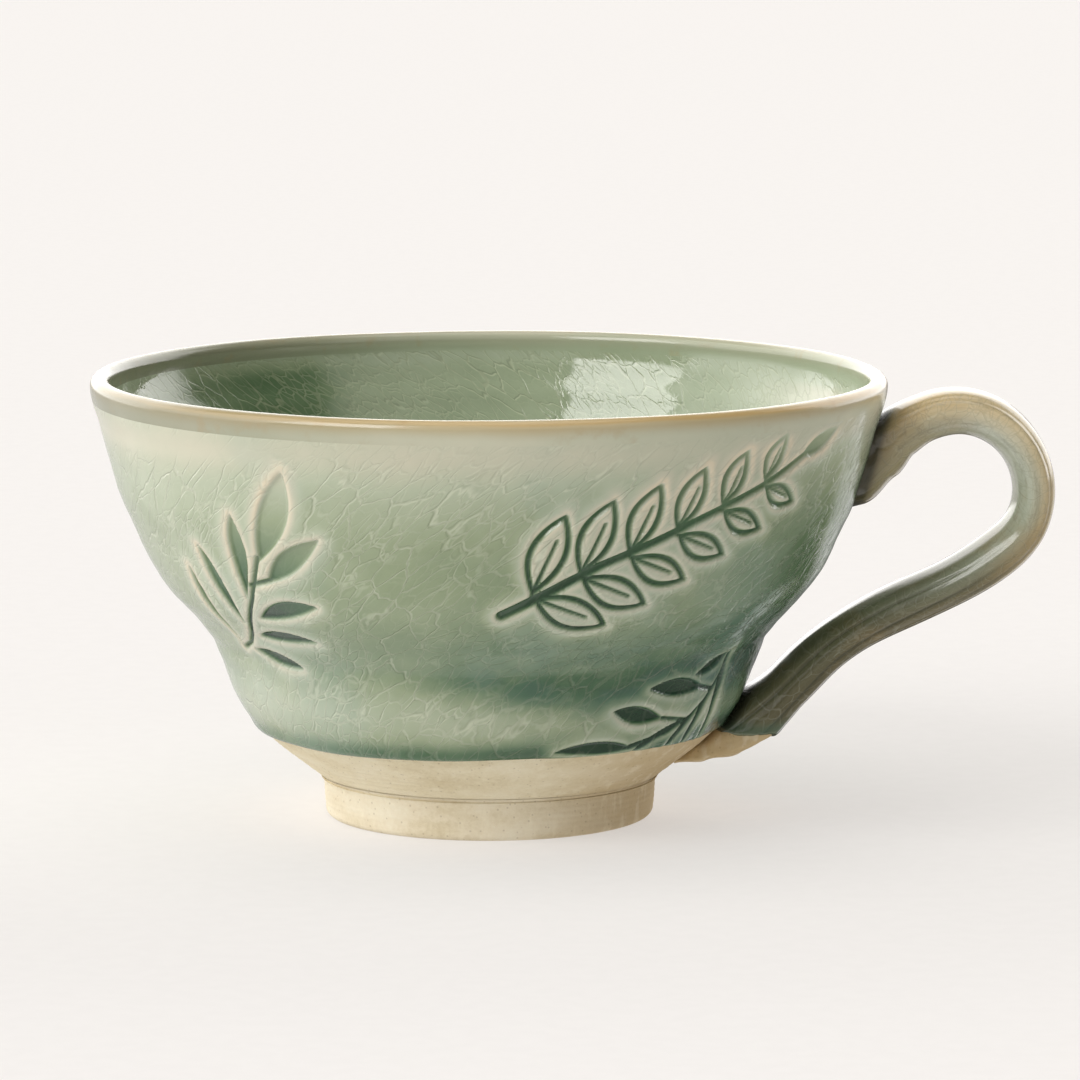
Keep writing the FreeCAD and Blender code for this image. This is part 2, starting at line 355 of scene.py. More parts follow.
def twist(p):
    """Coordinates for the crackle: wound round the bowl, so that its lines lean, and stretched along them."""
    angle = -0.016 * p[..., 2]
    c, s = np.cos(angle), np.sin(angle)
    return np.stack([p[..., 0] * c - p[..., 1] * s, p[..., 0] * s + p[..., 1] * c, p[..., 2] * 0.58], -1) * MM


def outer_surface(theta, rows):
    """The outside glaze from its lower edge to the rim band."""
    s_low = outside.s_at_height(glaze_edge(theta))
    s_top = outside.s_at_height(RIM_BAND_OUT)
    t = np.linspace(0.0, 1.0, rows)[:, None]
    s = s_low + (s_top - s_low) * t
    th = np.broadcast_to(theta, s.shape)
    rz = outside.at(s)
    tangent = outside.tangent(s)
    z = rz[..., 1]
    above = s - s_low
    d, ink = stamped(th, s)
    inside_line = 1.0 - smooth(-0.42, 0.22, d)
    depth = 0.60 * inside_line * smooth(68.0, 60.0, z) * (0.55 + 0.45 * smooth(1.5, 4.5, above))
    ridge = 0.10 * bell(d, 0.9, 0.8) + 0.05 * bell(d, 2.0, 1.6)
    waves = (0.012 * np.sin(2 * np.pi * (s / 3.1 + th / (2 * np.pi)))
             + 0.05 * np.sin(2 * np.pi * s / 9.0 + 1.0 + np.sin(th)))
    groove = 0.22 * bell(z, 28.7, 1.1)
    roll = 0.16 * bell(above, 1.2, 0.9) - (GLAZE + 0.25) * (1.0 - smooth(-0.1, 0.75, above) ** 0.5)
    out = (-depth + ridge * smooth(66.0, 60.0, z) + waves * smooth(0.5, 3.0, above) * smooth(66.0, 63.5, z)
           - groove + roll)
    normal = np.stack([tangent[..., 1], -tangent[..., 0]], -1)
    p = around(th, rz + normal * out[..., None])
    strap = strap_distance(*np.moveaxis(p, -1, 0))
    halo = 0.55 * smooth(3.6, 0.2, d) ** 1.3 + 0.45 * smooth(1.4, 0.2, d)
    halo = halo * (1.0 - inside_line) * smooth(66.4, 63.0, z)
    pool_and_painted_light = (0.34 + 0.20 * smooth(62.0, 36.0, z) + 0.10 * bell(z, 52.0, 8.0) - 0.20 * smooth(58.0, 67.0, z)
            + 0.07 * bell(z, 34.0, 4.0)
            + 0.30 * bell(above, 1.6, 2.3) - 0.14 * bell(z, 21.5, 3.4))
    # painted shade: the glaze is darker below the middle from a little right of the front, round by the handle side
    # and the back, to the left (-X), where it stops sharply because theta starts there
    pool_and_painted_light = pool_and_painted_light + 0.10 * smooth(-0.4, 1.1, th) * smooth(60.0, 40.0, z)
    # east is 1 on the handle side, 0 on the left and 0.35 at the back; it sets where shade is painted
    east = smooth(-0.5, 0.45, np.sin(th)) * smooth(-1.0, -0.2, np.cos(th)) + 0.35 * smooth(0.2, -0.6, np.cos(th))
    # the waist band is glaze pooled in the groove; on the handle side it is painted darker and wider as painted
    # shade, and the left side is painted paler as painted light
    pool_and_painted_light = (pool_and_painted_light + (0.05 + 0.23 * east) * bell(z, 28.4 - 2.0 * east, 1.6 + 3.0 * east)
            - 0.10 * smooth(-0.3, -0.85, np.sin(th)))
    # painted shade: darker glaze on the handle side
    pool_and_painted_light = pool_and_painted_light + 0.12 * smooth(0.55, 0.90, np.sin(th))
    pool_and_painted_light = pool_and_painted_light * smooth(66.6, 61.5, z) + BARE_POOL * smooth(61.5, 66.6, z)
    # near the handle's join: glaze pooled in the join, and painted shade in the crevice
    join_pool_and_shade = 0.40 * smooth(4.2, 0.8, strap) + 0.60 * smooth(2.1, 0.9, strap)
    # low: glaze runs at the waist, made stronger on the handle side as painted shade; the tone attribute holds the
    # glaze's thickness together with the painted shade above
    return p, {"pool_and_painted_light": pool_and_painted_light, "relief": inside_line * smooth(67.0, 64.0, z), "halo": halo, "ink": ink, "join_pool_and_shade": join_pool_and_shade,
               "low": bell(z, 27.0, 7.0) * (0.3 + 0.7 * east), "craze": twist(p)}


def build_bowl(mats):
    """The glazed skins: outside, rim band and inside."""
    theta = np.arange(COLUMNS) / COLUMNS * 2 * np.pi - np.pi / 2
    p, attributes = outer_surface(theta, OUTER_ROWS)
    normals = grid_normals(p, True)
    half = COLUMNS // 2
    halves = (("outer_glaze_front", np.arange(0, half + 1)),
              ("outer_glaze_back", np.arange(half, COLUMNS + 1) % COLUMNS))
    for name, cut in halves:
        part = {k: v[:, cut] for k, v in attributes.items()}
        skin(name, p[:, cut], False, mats["celadon"], part, normals[:, cut],
             node=["outer_glaze"] if name.endswith("front") else None)

    # rim band over the lip
    s0 = outside.s_at_height(RIM_BAND_OUT)
    up = outside.at(np.linspace(s0, outside.length, 9))[:-1]
    turn = np.linspace(0.0, np.pi, 19)
    over = np.stack([LIP_R + LIP * np.cos(turn), LIP_Z + LIP * np.sin(turn)], -1)
    s1 = inside.s_at_height(RIM_BAND_IN)
    down = inside.at(np.linspace(inside.length, s1, 8))[1:]
    line = np.concatenate([up, over, down])
    fine = theta[None, :]
    rz = np.broadcast_to(line[:, None, :], (len(line), COLUMNS, 2)).copy()
    wobble = 0.05 * np.sin(3 * fine + 0.5) + 0.03 * np.sin(7 * fine)
    amount = np.concatenate([np.linspace(0, 1, 8), np.ones(19), np.linspace(1, 0, 7)])[:, None]
    rz[..., 1] += -0.06 * amount + wobble * amount
    p_rim = around(np.broadcast_to(fine, rz.shape[:2]), rz)
    run = np.r_[0.0, np.cumsum(np.hypot(*np.diff(line, axis=0).T))]
    run = np.broadcast_to(run[:, None], rz.shape[:2])
    top_run = run[8 + 9, 0]
    # east: 0 on the left, 1 on the handle side; the rim material paints shade on the left side from it and sets the
    # ochre stronger on the right
    skin("rim_glaze_skin", p_rim, True, mats["rim"],
         {"lip": run - top_run, "pool_and_painted_light": BARE_POOL + (DEEP_POOL - BARE_POOL) * smooth(-1.0, 3.5, run - top_run),
          "east": 0.5 + 0.5 * np.sin(np.broadcast_to(fine, run.shape)), "craze": twist(p_rim)},
         grid_normals(p_rim, True), node=["rim_glaze"])

    # inside glaze
    theta_in = theta[::2]
    s = np.r_[0.02, 0.4, np.linspace(0.0, 40.0, 36)[1:], np.linspace(40.0, s1, 120)[1:]][:, None]
    th = np.broadcast_to(theta_in, (len(s), len(theta_in)))
    rz = np.broadcast_to(inside.at(s), th.shape + (2,)).copy()
    tangent = inside.tangent(np.broadcast_to(s, th.shape))
    waves = 0.06 * np.sin(2 * np.pi * (s / 5.2 + th / (2 * np.pi))) * smooth(0.0, 8.0, s) * smooth(s1, s1 - 6.0, s)
    normal = np.stack([-tangent[..., 1], tangent[..., 0]], -1)
    p_in = around(th, rz + normal * waves[..., None])
    z = p_in[..., 2]
    pool_and_painted_light = 0.52 + 0.20 * smooth(60.0, 30.0, z) + 0.2 * smooth(16.0, 11.0, z)
    # painted sheen: near the rim the inside glaze is painted paler at the left and right sides, more on the right
    painted_sheen_sides = smooth(0.60, 0.98, np.abs(np.sin(th)))
    pool_and_painted_light = pool_and_painted_light - (0.14 + 0.22 * (np.sin(th) > 0)) * painted_sheen_sides * smooth(50.0, 62.0, z)
    # painted shade: a darker patch inside at the back left
    pool_and_painted_light = pool_and_painted_light + 0.19 * smooth(-0.36, -0.52, np.sin(th)) * smooth(-0.92, -0.80, np.sin(th)) * (np.cos(th) < 0)
    pool_and_painted_light = pool_and_painted_light * smooth(66.8, 63.5, z) + DEEP_POOL * smooth(63.5, 66.8, z)
    skin("inner_glaze_skin", p_in, True, mats["inner"], {"pool_and_painted_light": pool_and_painted_light, "craze": twist(p_in)},
         grid_normals(p_in, True), node=["inner_glaze"], flip=True)


def build_clay(mats):
    """Bare clay: the band under the glaze, the underside, and the foot ring."""
    columns = CLAY_COLUMNS
    theta = np.arange(columns) / columns * 2 * np.pi
    edge = outside.s_at_height(glaze_edge(theta)) + CLAY_OVERLAP
    s = np.linspace(0.0, 1.0, 44)[:, None] * edge
    th = np.broadcast_to(theta, s.shape)
    rz = outside.at(s)
    tangent = outside.tangent(s)
    normal = np.stack([tangent[..., 1], -tangent[..., 0]], -1)
    marks = 0.05 * np.sin(2 * np.pi * s / 1.3) * bell(s, 4.0, 3.0) + 0.03 * np.sin(2 * np.pi * (s / 0.8 + th / np.pi))
    wave = 0.04 * np.sin(2 * th + 0.6) + 0.03 * np.sin(3 * th)
    p = around(th, rz + normal * (-GLAZE + marks + wave)[..., None])
    # painted shade: the bare clay is darker ochre towards the handle side
    skin("bowl_clay_band", p, True, mats["clay"], {"right_side_shade": smooth(0.1, 0.95, np.sin(th))},
         grid_normals(p, True), node=["bowl_body"])

    r = np.r_[0.02, np.linspace(0.3, 26.6, 59)][:, None]
    th2 = np.broadcast_to(theta[::2], (60, columns // 2))
    spiral = 0.07 * np.sin(2 * np.pi * (r / 2.4 - th2 / (2 * np.pi))) * smooth(1.0, 4.0, r) * smooth(21.0, 17.0, r)
    z = FOOT_H + 0.35 * smooth(9.0, 0.0, r) - 0.25 * bell(r, 0.0, 1.6) + spiral
    rz = np.stack([np.broadcast_to(r, th2.shape), z * np.ones_like(th2)], -1)
    p = around(th2, rz)
    skin("bowl_underside", p, True, mats["clay"], {}, grid_normals(p, True), flip=True)

    line = [(19.4, 6.5), (19.9, 5.9), (20.3, 5.3), (20.6, 4.6), (20.8, 3.6), (20.95, 2.4), (21.05, 1.4)]
    line += [(22.3 - 1.2 * math.cos(a), 1.2 - 1.2 * math.sin(a)) for a in np.linspace(0.1, math.pi / 2, 7)]
    line += [(22.9, 0.0), (23.6, 0.0), (24.2, 0.0)]
    line += [(24.65 + 1.25 * math.sin(a), 1.25 - 1.25 * math.cos(a)) for a in np.linspace(0.1, math.pi / 2, 9)]
    line += [(25.98, 2.0), (26.06, 2.9), (26.12, 3.8), (26.16, 4.6), (26.20, 5.3), (26.25, 5.8), (26.36, 6.2),
             (26.60, 6.55), (27.0, 6.8)]
    curve = Curve(line)
    s = np.linspace(0.0, curve.length, 90)[:, None]
    th = np.broadcast_to(theta, (90, columns))
    sb = np.broadcast_to(s, th.shape)
    rz = curve.at(sb).copy()
    worn = 0.05 * np.sin(2 * th + 1.0) + 0.035 * np.sin(5 * th) + 0.03 * np.sin(2 * np.pi * s / 0.9 + th)
    rz[..., 0] += worn * smooth(0.6, 2.0, rz[..., 1])
    p = around(th, rz)
    # painted shade: the foot ring is darker ochre towards the handle side
    skin("foot_ring_skin", p, True, mats["foot"], {"right_side_shade": smooth(0.1, 0.95, np.sin(th))},
         grid_normals(p, True), node=["foot_ring"], flip=True)


def strap_surface(share, angle, shrink, groove):
    """Handle surface; angle 0 and 180 degrees are the strap's broad faces, 90 degrees its back edge."""
    s = share * spine.length
    centre = spine.at(s)
    tangent = spine.tangent(s)
    thick, width = strap_size(share)
    a = thick / 2 - shrink
    b = width / 2 - shrink
    c, sn = np.cos(angle), np.sin(angle)
    power = 2.0 / SQUARENESS
    across = np.sign(c) * np.abs(c) ** power * a
    side = np.sign(sn) * np.abs(sn) ** power * b
    scale = 1.0 - groove / np.maximum(np.hypot(across, side), 1.0)
    across, side = across * scale, side * scale
    normal = np.stack([-tangent[..., 1], tangent[..., 0]], -1)
    p = np.stack([centre[..., 0] + normal[..., 0] * across, side, centre[..., 1] + normal[..., 1] * across], -1)
    radius = np.hypot(p[..., 0], p[..., 1])
    wall = np.where(p[..., 2] > 40.0, outside.radius_at(p[..., 2]) - 1.6, 0.0)
    p[..., :2] *= (np.maximum(radius, wall) / radius)[..., None]
    return p


def build_handle(mats):
    """The glazed strap and the bare clay tip below its glaze line."""
    count, around_n = STRAP_ROWS, STRAP_COLUMNS
    angle = np.linspace(0, 2 * np.pi, around_n, endpoint=False)[None, :]
    # the lower glaze line crosses the strap on a slant, so each column stops at its own share
    probe = np.linspace(0.80, 1.0, 200)[:, None]
    grid = strap_surface(np.broadcast_to(probe, (200, around_n)), np.broadcast_to(angle, (200, around_n)), 0.0,
                         np.zeros((200, around_n)))
    line = 13.6 - 0.16 * (grid[..., 0] - 38.0) + 0.35 * np.sin(2.0 * grid[..., 1] * 0.35) + 0.2 * np.sin(grid[..., 1])
    below = grid[..., 2] < line
    stop = probe[np.argmax(below, axis=0), 0]
    t = np.linspace(0.0, 1.0, count)[:, None]
    share = HANDLE_START + (stop[None, :] - HANDLE_START) * t
    ang = np.broadcast_to(angle, share.shape)
    side = np.sin(ang)
    flank = smooth(0.35, 0.8, np.abs(side))
    c = np.cos(ang)
    drift = 0.10 * np.sin(share * 9.0 + 0.6)
    lines = (0.20 * bell(c, 0.30 + drift, 0.07) * smooth(0.40, 0.55, share) * smooth(0.97, 0.86, share)
             + 0.14 * bell(c, -0.30 + drift * 0.6, 0.05) * smooth(0.45, 0.6, share)
             - 0.22 * bell(c, -0.02 + drift * 0.4, 0.10) * smooth(0.06, 0.14, share)
             + 0.16 * bell(c, 0.66 + drift * 0.4, 0.08) * smooth(0.08, 0.16, share) * smooth(0.62, 0.5, share))
    flutes = 0.06 * np.sin(FLUTES * ang + 2.0 * np.sin(share * 5.0)) * smooth(0.1, 0.25, share)
    groove = lines * flank + flutes * 0.6 + 0.10 * np.sin(share * 46.0 + 1.2) * smooth(0.2, 0.3, share) * 0.5
    end = (stop[None, :] - share) * spine.length
    groove = groove + (GLAZE + 0.2) * (1.0 - smooth(-0.05, 0.9, end) ** 0.5) - 0.12 * bell(end, 1.3, 0.9)
    p = strap_surface(share, ang, 0.0, groove)
    radius = np.hypot(p[..., 0], p[..., 1])
    off_wall = (radius - outside.radius_at(p[..., 2])) * 0.85
    # near the bowl wall: painted shade in the crevice where the handle meets the bowl
    join_pool_and_shade = 0.4 * smooth(3.6, 0.8, off_wall) + 0.6 * smooth(2.0, 0.7, off_wall)
    edge = np.abs(c) ** 1.5 * (1 - flank)
    streak = np.stack([ang / (2 * np.pi), share, np.zeros_like(share)], -1)
    cut = lines * flank / 0.26 * smooth(0.30, 0.60, share)
    skin("handle_glaze_skin", p, True, mats["handle"],
         {"join_pool_and_shade": join_pool_and_shade, "edge": edge, "cut": cut, "inner": smooth(-0.35, 0.45, c + 0.06 * np.sin(share * 31.0)),
          "share": share,
          "pool_and_painted_light": 0.25 * bell(end, 1.5, 2.0), "streak": streak, "craze": twist(p)},
         grid_normals(p, True), node=["handle_glaze", "handle", "upper_handle_joint"], flip=True)

    t = np.linspace(0.0, 1.0, 90)[:, None]
    share = (stop[None, :] - 0.03) + (1.0 - stop[None, :] + 0.03) * t
    ang = np.broadcast_to(angle, share.shape)
    rough = 0.10 * np.sin(share * 210 + 3 * np.sin(ang * 2)) * 0.5 + 0.08 * np.sin(ang * 7 + share * 40)
    p = strap_surface(share, ang, GLAZE - 0.1, rough)
    # painted shade: the clay at the lower joint lies on the handle side and takes the full darker ochre
    skin("lower_joint_clay", p, True, mats["clay"], {"right_side_shade": np.ones_like(share)},
         grid_normals(p, True), node=["lower_handle_joint"], flip=True)


# =====================================================================
# materials
# =====================================================================
def linear(r, g, b):
    """Linear colour of an sRGB colour given in 0 to 255."""
    out = []
    for v in (r, g, b):
        v /= 255.0
        out.append(v / 12.92 if v <= 0.04045 else ((v + 0.055) / 1.055) ** 2.4)
    return (*out, 1.0)


class Nodes:
    """Short-hand for building a node tree."""

    def __init__(self, name):
        self.material = bpy.data.materials.new(name)
        self.material.use_nodes = True
        self.tree = self.material.node_tree
        self.tree.nodes.clear()
        self.out = self.add("ShaderNodeOutputMaterial")

    @classmethod
    def of_tree(cls, world):
        """The same short-hand on a world's node tree."""
        n = cls.__new__(cls)
        world.use_nodes = True
        n.tree = world.node_tree
        n.tree.nodes.clear()
        n.out = n.add("ShaderNodeOutputWorld")
        return n

    def add(self, kind, **values):
        node = self.tree.nodes.new(kind)
        for key, value in values.items():
            setattr(node, key, value)
        return node

    def link(self, a, b):
        self.tree.links.new(a, b)

    def put(self, socket, value):
        if isinstance(value, bpy.types.NodeSocket):
            self.link(value, socket)
        else:
            socket.default_value = value

    def attribute(self, name, vector=False):
        node = self.add("ShaderNodeAttribute", attribute_name=name)
        return node.outputs["Vector"] if vector else node.outputs["Fac"]

    def position(self):
        return self.add("ShaderNodeTexCoord").outputs["Object"]

    def math(self, operation, a, b=0.0, clamp=False):
        node = self.add("ShaderNodeMath", operation=operation, use_clamp=clamp)
        self.put(node.inputs[0], a)
        self.put(node.inputs[1], b)
        return node.outputs[0]

    def times(self, a, b, clamp=False):
        return self.math("MULTIPLY", a, b, clamp)

    def plus(self, a, b, clamp=False):
        return self.math("ADD", a, b, clamp)

    def minus(self, a, b, clamp=False):
        return self.math("SUBTRACT", a, b, clamp)

    def remap(self, value, low, high, to_low=0.0, to_high=1.0, smooth_step=True):
        node = self.add("ShaderNodeMapRange", interpolation_type="SMOOTHSTEP" if smooth_step else "LINEAR")
        self.put(node.inputs["Value"], value)
        for key, number in (("From Min", low), ("From Max", high), ("To Min", to_low), ("To Max", to_high)):
            self.put(node.inputs[key], number)
        return node.outputs["Result"]

    def mix(self, factor, a, b):
        node = self.add("ShaderNodeMix", data_type="RGBA")
        self.put(node.inputs[0], factor)
        self.put(node.inputs[6], a)
        self.put(node.inputs[7], b)
        return node.outputs[2]

    def noise(self, vector, scale, detail=3.0, roughness=0.5, distortion=0.0):
        node = self.add("ShaderNodeTexNoise", normalize=True)
        self.put(node.inputs["Vector"], vector)
        self.put(node.inputs["Scale"], scale)
        self.put(node.inputs["Detail"], detail)
        self.put(node.inputs["Roughness"], roughness)
        self.put(node.inputs["Distortion"], distortion)
        return node

    def voronoi(self, vector, scale, feature="DISTANCE_TO_EDGE", randomness=1.0):
        node = self.add("ShaderNodeTexVoronoi", feature=feature)
        self.put(node.inputs["Vector"], vector)
        self.put(node.inputs["Scale"], scale)
        self.put(node.inputs["Randomness"], randomness)
        return node

    def stretch(self, vector, x, y, z):
        node = self.add("ShaderNodeVectorMath", operation="MULTIPLY")
        self.put(node.inputs[0], vector)
        node.inputs[1].default_value = (x, y, z)
        return node.outputs[0]

    def shift(self, vector, noise, amount):
        """The vector moved by a noise's colour, plus or minus the amount."""
        centre = self.add("ShaderNodeVectorMath", operation="SUBTRACT")
        self.link(noise.outputs["Color"], centre.inputs[0])
        centre.inputs[1].default_value = (0.5, 0.5, 0.5)
        scaled = self.add("ShaderNodeVectorMath", operation="SCALE")
        self.link(centre.outputs[0], scaled.inputs[0])
        scaled.inputs["Scale"].default_value = amount * 2
        added = self.add("ShaderNodeVectorMath", operation="ADD")
        self.put(added.inputs[0], vector)
        self.link(scaled.outputs[0], added.inputs[1])
        return added.outputs[0]

    def ramp(self, factor, stops, interpolation="B_SPLINE"):
        node = self.add("ShaderNodeValToRGB")
        node.color_ramp.interpolation = interpolation
        elements = node.color_ramp.elements
        while len(elements) > 1:
            elements.remove(elements[-1])
        elements[0].position, elements[0].color = stops[0]
        for position, colour in stops[1:]:
            elements.new(position).color = colour
        self.put(node.inputs[0], factor)
        return node.outputs["Color"]

    def bump(self, height, distance, strength=1.0, normal=None):
        node = self.add("ShaderNodeBump")
        self.put(node.inputs["Height"], height)
        node.inputs["Distance"].default_value = distance
        node.inputs["Strength"].default_value = strength
        if normal is not None:
            self.link(normal, node.inputs["Normal"])
        return node.outputs[0]

    def shader(self, colour, roughness, normal=None, **fixed):
        node = self.add("ShaderNodeBsdfPrincipled")
        self.put(node.inputs["Base Color"], colour)
        self.put(node.inputs["Roughness"], roughness)
        if normal is not None:
            self.link(normal, node.inputs["Normal"])
        for key, value in fixed.items():
            node.inputs[key.replace("_", " ")].default_value = value
        self.link(node.outputs[0], self.out.inputs["Surface"])
        return self.material


def crackle(n, size):
    """Crazing: long leaning cracks and short ones between them; size is the spacing in millimetres."""
    flow = n.attribute("craze", vector=True)
    patchy = n.remap(n.noise(flow, 70.0, 2.0).outputs["Fac"], 0.40, 0.62)

    def lines(offset):
        moved = n.add("ShaderNodeVectorMath", operation="ADD")
        n.link(flow, moved.inputs[0])
        moved.inputs[1].default_value = offset
        bent = n.shift(moved.outputs[0], n.noise(moved.outputs[0], 150.0, 3.0, 0.6), 0.0019)
        fine = n.shift(moved.outputs[0], n.noise(moved.outputs[0], 420.0, 2.0), 0.0007)
        wide = n.remap(n.voronoi(bent, 1000.0 / size).outputs["Distance"], 0.008, 0.045, 1.0, 0.0)
        small = n.remap(n.voronoi(fine, 2100.0 / size).outputs["Distance"], 0.012, 0.070, 1.0, 0.0)
        wide = n.times(wide, n.plus(n.times(patchy, 0.45), 0.55))
        return n.math("MAXIMUM", wide, n.times(small, n.minus(0.75, n.times(patchy, 0.6))))

    return lines((0.0, 0.0, 0.0)), lines((0.00011, 0.00006, 0.00009))


BACKDROP = linear(244, 240, 237)
GLAZE_STOPS = [
    (0.00, linear(224, 214, 188)),
    (0.16, linear(205, 203, 181)),
    (0.34, linear(182, 191, 166)),
    (0.52, linear(153, 166, 134)),
    (0.68, linear(117, 138, 104)),
    (0.82, linear(72, 105, 71)),
    (1.00, linear(30, 62, 37)),
]


def glaze_level(n):
    """How thick the glaze looks, 0 to 1, with its clouds; on the bowl it also holds painted shade and painted sheen;
    and the fine grain.
    """
    place = n.position()
    cloud = n.noise(place, 38.0, 3.0, 0.55).outputs["Fac"]
    fine = n.noise(place, 260.0, 3.0, 0.6).outputs["Fac"]
    level = n.plus(n.attribute("pool_and_painted_light"), n.times(n.minus(cloud, 0.5), 0.24))
    return n.plus(level, n.times(n.minus(fine, 0.5), 0.08), clamp=True), fine


def celadon():
    n = Nodes("celadon_glaze")
    place = n.position()
    level, fine = glaze_level(n)
    runs = n.noise(n.stretch(place, 1.0, 1.0, 2.2), 55.0, 3.0, 0.6).outputs["Fac"]
    # waist runs: real glaze runs, made stronger on the handle side as painted shade through the attribute low
    level = n.plus(level, n.times(n.minus(runs, 0.46), n.times(n.attribute("low"), 0.55)))
    relief = n.attribute("relief")
    halo = n.attribute("halo")
    in_line = n.plus(n.times(n.minus(level, 0.5), 0.8), n.attribute("ink"))
    level = n.minus(level, n.times(halo, 0.42), clamp=True)
    level = n.plus(n.times(level, n.minus(1.0, relief)), n.times(in_line, relief))
    # at the handle's join the glaze is thicker (pooled) and its colour is painted near-black as painted shade in the
    # crevice
    join_pool_and_shade = n.attribute("join_pool_and_shade")
    level = n.plus(level, n.times(join_pool_and_shade, 0.5), clamp=True)
    colour = n.ramp(level, GLAZE_STOPS, "LINEAR")
    colour = n.mix(n.times(join_pool_and_shade, 0.75), colour, linear(34, 42, 30))
    blue = n.remap(n.noise(place, 46.0, 2.0).outputs["Fac"], 0.52, 0.66, 0.0, 0.14)
    # teal at the waist, stronger on the handle side as painted shade
    teal = n.times(n.times(n.attribute("low"), n.remap(runs, 0.40, 0.60, 0.10, 0.38)), n.minus(1.0, relief))
    colour = n.mix(teal, colour, linear(92, 124, 116))
    colour = n.mix(n.times(blue, n.minus(1.0, relief)), colour, linear(150, 176, 172))
    line, glow = crackle(n, 4.2)
    clear = n.times(n.minus(1.0, n.times(relief, 0.8)), n.remap(n.attribute("pool_and_painted_light"), 0.15, 0.28, 0.0, 1.0))
    pale = n.times(n.times(glow, clear), n.remap(level, 0.35, 0.75, 0.50, 0.11))
    colour = n.mix(pale, colour, linear(222, 226, 204))
    colour = n.mix(n.times(n.times(line, clear), 0.20), colour, linear(92, 102, 72))
    height = n.minus(n.times(fine, 0.25), n.times(n.times(line, clear), 0.8))
    bump = n.bump(height, 0.00015, 0.6)
    soft = n.bump(n.noise(place, 60.0, 2.0).outputs["Fac"], 0.0005, 0.25, bump)
    rough = n.remap(fine, 0.3, 0.7, 0.10, 0.20)
    return n.shader(colour, rough, soft, IOR=1.66)


def rim():
    n = Nodes("rim_glaze")
    place = n.position()
    level, fine = glaze_level(n)
    wobble = n.noise(place, 45.0, 3.0).outputs["Fac"]
    run = n.plus(n.attribute("lip"), n.times(n.minus(wobble, 0.5), 1.4))
    thin = n.ramp(n.remap(run, -4.6, 4.6, smooth_step=False), [
        (0.00, linear(186, 180, 152)),
        (0.28, linear(188, 174, 138)),
        (0.37, linear(200, 180, 136)),
        (0.44, linear(204, 190, 154)),
        (0.52, linear(196, 190, 164)),
        (0.66, linear(176, 178, 152)),
        (1.00, linear(158, 166, 138)),
    ], "LINEAR")
    cover = n.remap(n.math("ABSOLUTE", run), 1.9, 4.2, 1.0, 0.0)
    colour = n.mix(cover, n.ramp(level, GLAZE_STOPS, "LINEAR"), thin)
    # painted shade: the rim's glaze is darker and greyer on the left side
    colour = n.mix(n.remap(n.attribute("east"), 0.0, 0.5, 0.7, 0.0), colour, linear(124, 122, 98))
    ochre = n.remap(n.math("ABSOLUTE", n.plus(run, 1.1)), 0.25, 0.75, 1.0, 0.0)
    ochre = n.times(ochre, n.remap(n.attribute("east"), 0.0, 0.8, 0.15, 0.48))
    colour = n.mix(ochre, colour, linear(196, 158, 90))
    colour = n.mix(n.remap(fine, 0.55, 0.75, 0.0, 0.20), colour, linear(176, 140, 88))
    return n.shader(colour, n.remap(fine, 0.3, 0.7, 0.12, 0.22), n.bump(fine, 0.00008, 0.4), IOR=1.62)


def inner():
    n = Nodes("inner_glaze")
    level, fine = glaze_level(n)
    colour = n.ramp(level, GLAZE_STOPS, "LINEAR")
    line, glow = crackle(n, 2.9)
    clear = n.remap(n.attribute("pool_and_painted_light"), 0.15, 0.30, 0.0, 1.0)
    colour = n.mix(n.times(n.times(glow, clear), 0.50), colour, linear(194, 202, 168))
    colour = n.mix(n.times(n.times(line, clear), 0.26), colour, linear(76, 86, 54))
    height = n.minus(n.times(fine, 0.1), n.times(line, 0.55))
    return n.shader(colour, n.remap(fine, 0.3, 0.7, 0.03, 0.06), n.bump(height, 0.00005, 0.45), IOR=1.72)


def clay(name, light, mid, dark):
    n = Nodes(name)
    place = n.position()
    flat = n.stretch(place, 1.0, 1.0, 3.0)
    bands = n.noise(flat, 75.0, 5.0, 0.62).outputs["Fac"]
    grain = n.noise(place, 1500.0, 3.0, 0.7).outputs["Fac"]
    speck = n.voronoi(place, 900.0, "F1").outputs["Distance"]
    colour = n.ramp(n.plus(n.times(bands, 0.7), n.times(grain, 0.3)), [
        (0.30, dark), (0.50, mid), (0.70, light)], "LINEAR")
    # painted shade: darker ochre on the handle side
    colour = n.mix(n.times(n.attribute("right_side_shade"), 0.70), colour, linear(176, 148, 96))
    brushed = n.noise(n.stretch(place, 1.0, 1.0, 0.25), 420.0, 3.0, 0.6).outputs["Fac"]
    colour = n.mix(n.remap(brushed, 0.50, 0.68, 0.0, 0.30), colour, linear(240, 232, 208))
    colour = n.mix(n.remap(speck, 0.08, 0.20, 0.30, 0.0), colour, linear(128, 100, 60))
    height = n.plus(n.times(grain, 0.6), n.times(bands, 0.6))
    return n.shader(colour, n.remap(grain, 0.3, 0.7, 0.72, 0.92), n.bump(height, 0.0003, 0.55), IOR=1.45)


